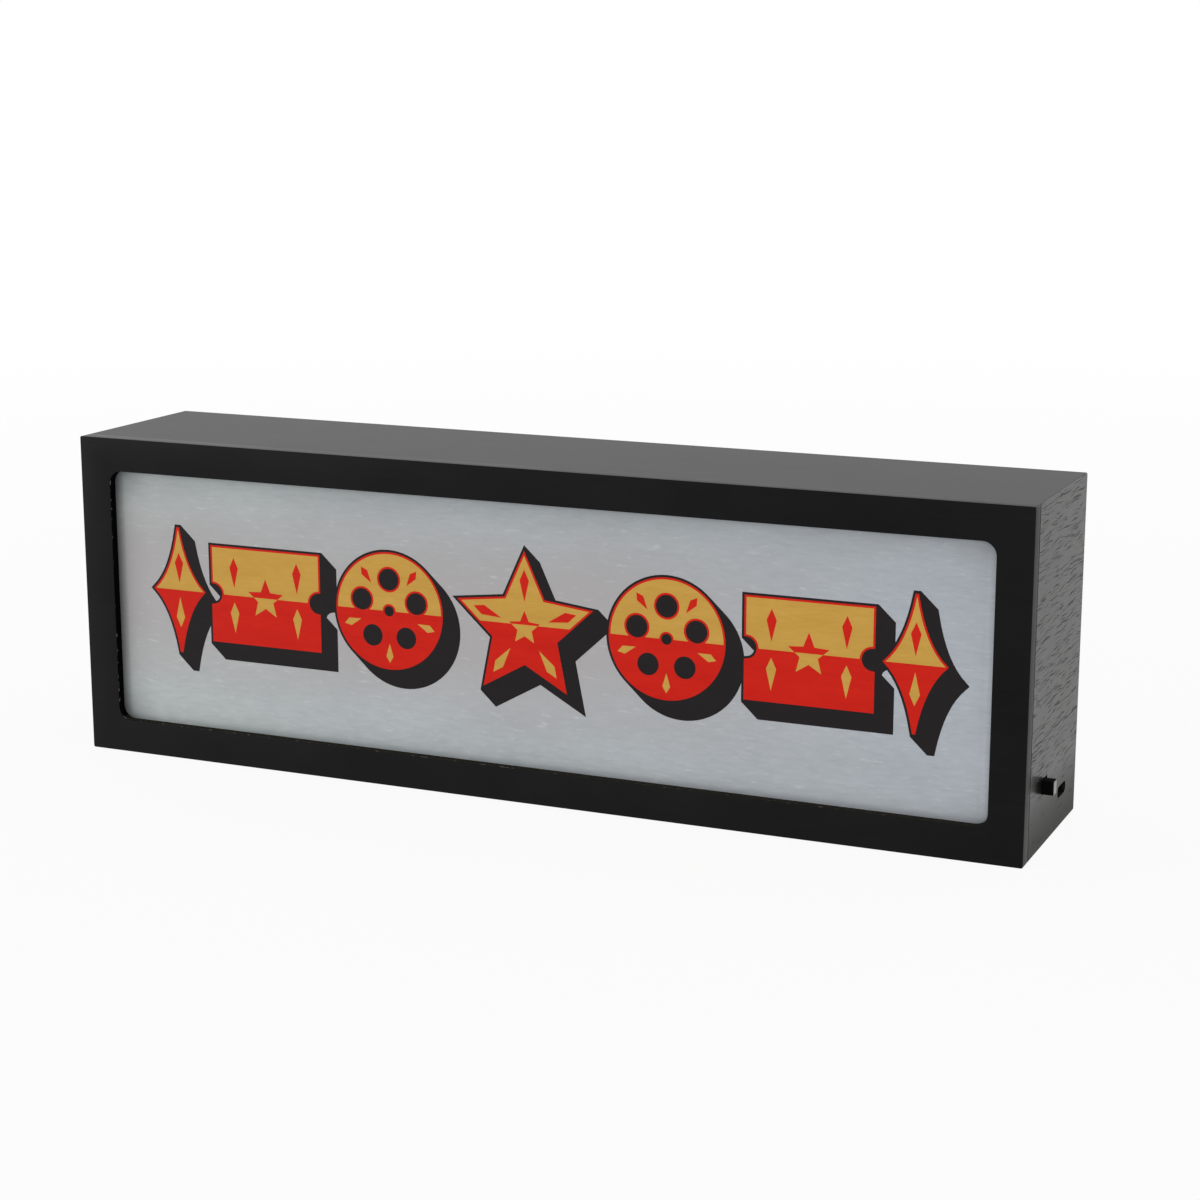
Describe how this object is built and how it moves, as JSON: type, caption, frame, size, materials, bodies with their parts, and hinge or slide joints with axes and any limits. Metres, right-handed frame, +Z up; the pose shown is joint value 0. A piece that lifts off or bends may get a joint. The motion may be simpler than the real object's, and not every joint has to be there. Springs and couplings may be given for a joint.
{
  "type": "light box",
  "caption": "Slim table-top light box with a dark wrapped case, a recessed printed panel in a bordered frame, a side slide switch and a hinged cell door at the back.",
  "frame": {"origin": "centre of the base, on the surface that the box stands on", "axes": "+X across the front towards the switch side, +Y from the front frame to the back, +Z up"},
  "size_m": [0.3033, 0.059, 0.0995],
  "materials": {
    "wrap": "black wood-grain vinyl wrap, satin",
    "frame_wrap": "black vinyl wrap, satin",
    "print": "off-white translucent sheet with a two-tone print",
    "opal": "opal acrylic",
    "plywood": "raw pine, sawn",
    "back_board": "black faced hardboard",
    "white_card": "matt white",
    "black_plastic": "moulded, fine texture",
    "knob_plastic": "moulded, satin",
    "tinned_steel": "bright tinned",
    "spring_steel": "nickel plated",
    "black_screw": "black oxide",
    "phenolic": "brown laminate",
    "copper_alloy": "sprung, bright",
    "cell_jacket": "shrink sleeve with bare ends",
    "green_board": "solder mask",
    "strip_white": "white flexible circuit",
    "lamp": "yellow phosphor in a white body",
    "resistor": "black chip",
    "lead_red": "PVC",
    "lead_black": "PVC"
  },
  "bodies": {
    "case": {"front_frame": "frame_wrap", "top_board": "wrap", "bottom_board": "wrap", "left_board": "wrap", "right_board": "wrap", "printed_sheet": "print", "opal_panel": "opal", "upper_batten": "plywood", "lower_batten": "plywood", "left_batten": "plywood", "right_batten": "plywood", "back_panel": "back_board", "back_card": "white_card", "screw_blocks": "plywood", "back_screws": "black_screw", "cell_tray": "black_plastic", "contact_plates": "tinned_steel", "contact_springs": "spring_steel", "lower_cell": "cell_jacket", "middle_cell": "cell_jacket", "upper_cell": "cell_jacket", "switch_can": "tinned_steel", "switch_base": "phenolic", "switch_pins": "tinned_steel", "switch_screws": "black_screw", "socket_shell": "tinned_steel", "socket_tongue": "black_plastic", "socket_circuit": "green_board", "socket_block": "plywood", "socket_screws": "black_screw", "upper_light_strip": "strip_white", "lower_light_strip": "strip_white", "upper_lamps": "lamp", "lower_lamps": "lamp", "strip_resistors": "resistor", "cell_lead_red": "lead_red", "cell_lead_black": "lead_black", "socket_lead_red": "lead_red", "socket_lead_black": "lead_black", "strip_lead_red": "lead_red", "link_lead_red": "lead_red", "link_lead_black": "lead_black"},
    "knob": {"switch_knob": "knob_plastic", "switch_bridge": "copper_alloy"},
    "door": {"cell_door": "black_plastic"}
  },
  "joints": [
    {"name": "switch_slide", "type": "slide", "parent": "case", "child": "knob", "axis": [0, 1, 0], "range_m": [0, 0.002]},
    {"name": "cell_door_hinge", "type": "hinge", "parent": "case", "child": "door", "pos_m": [0, 0.0278, 0.0272], "axis": [-1, 0, 0], "range_deg": [0, 95]}
  ]
}
